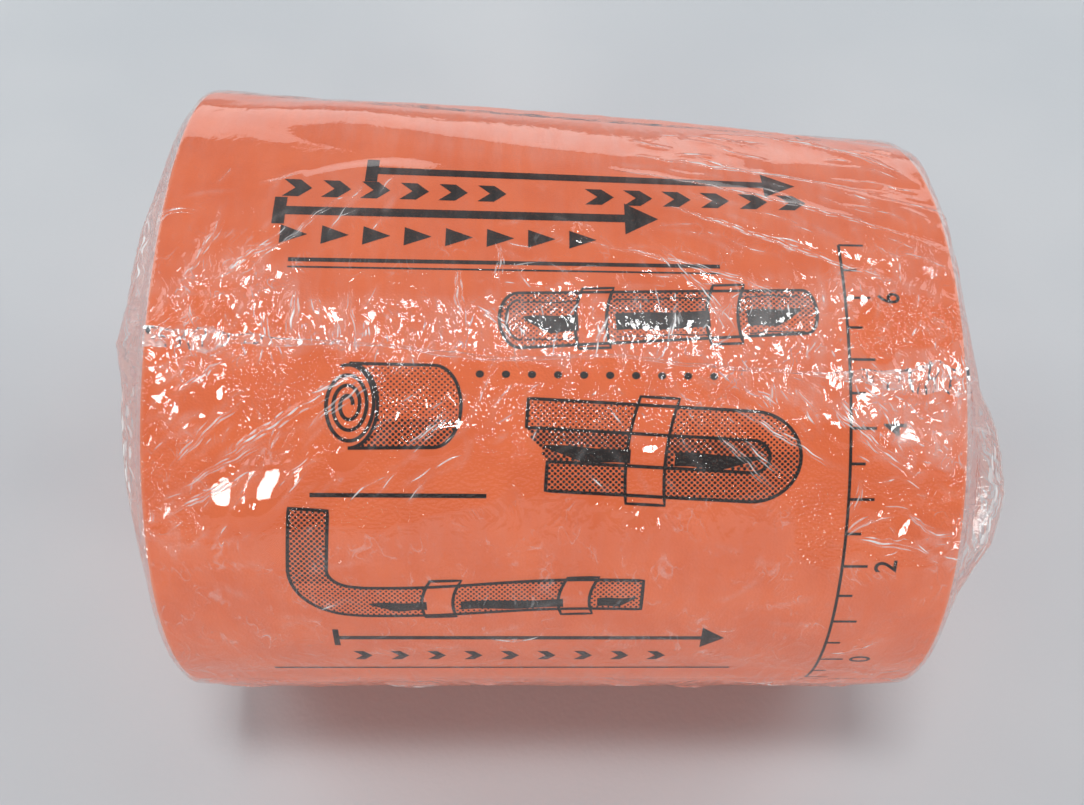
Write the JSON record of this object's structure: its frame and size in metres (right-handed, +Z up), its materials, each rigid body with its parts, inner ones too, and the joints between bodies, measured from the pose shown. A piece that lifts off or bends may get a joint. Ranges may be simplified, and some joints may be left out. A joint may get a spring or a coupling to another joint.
{
  "type": "rolled aluminium foam splint in clear film",
  "caption": "Mouldable foam splint strip with an aluminium core, rolled up and lying on its side in clear shrink film with open round ends.",
  "frame": {"origin": "middle of the base of the whole, on the surface that the roll lies on", "axes": "+X along the roll's axis, -Y towards the front where the film's seam shows, +Z up"},
  "size_m": [0.1192, 0.0974, 0.0845],
  "materials": {
    "foam": "matte closed-cell foam",
    "core": "mill",
    "film": "clear glossy plastic film"
  },
  "bodies": {
    "root": {"outer_foam": "foam", "aluminium_core": "core", "inner_foam": "foam", "film_wrap": "film"}
  },
  "joints": []
}
